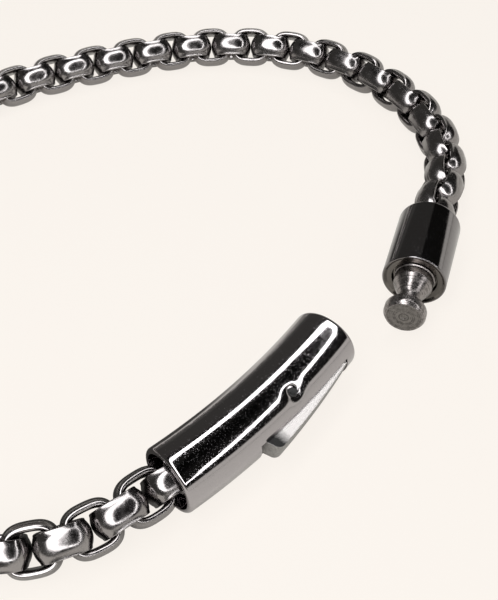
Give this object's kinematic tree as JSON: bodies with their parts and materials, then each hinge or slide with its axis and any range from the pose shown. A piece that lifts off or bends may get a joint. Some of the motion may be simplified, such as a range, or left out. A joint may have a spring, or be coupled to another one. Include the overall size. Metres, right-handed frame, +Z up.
{
  "type": "box chain bracelet",
  "caption": "Rounded box chain bracelet lying open in a loop, with a curved tube clasp that has a sprung side lever, and an end cap whose turned stud locks in the tube.",
  "frame": {"origin": "on the table, under the middle of the whole bracelet", "axes": "+Z up from the table; the bracelet lies flat, its clasp on the -Y side, and the opening between the tube's mouth and the stud is on the +X side"},
  "size_m": [0.0747, 0.0775, 0.0072],
  "materials": {
    "link_steel": "polished stainless steel",
    "tube_steel": "polished stainless steel",
    "pin_steel": "satin steel",
    "cap_steel": "polished stainless steel",
    "turned_steel": "turned stainless steel"
  },
  "bodies": {
    "root": {"chain_far": "link_steel", "chain_near": "link_steel", "clasp_tube": "tube_steel", "pivot_pin": "pin_steel", "end_cap": "cap_steel", "stud": "turned_steel"},
    "lever": {"clasp_lever": "tube_steel"}
  },
  "joints": [
    {"name": "lever_press", "type": "hinge", "parent": "root", "child": "lever", "pos_m": [0.01632, -0.02181, 0.00316], "axis": [-0.1671, 0.1977, -0.9659], "range_deg": [0, 8], "stiffness_Nm_per_rad": 0.03, "springref_deg": -11.46}
  ]
}
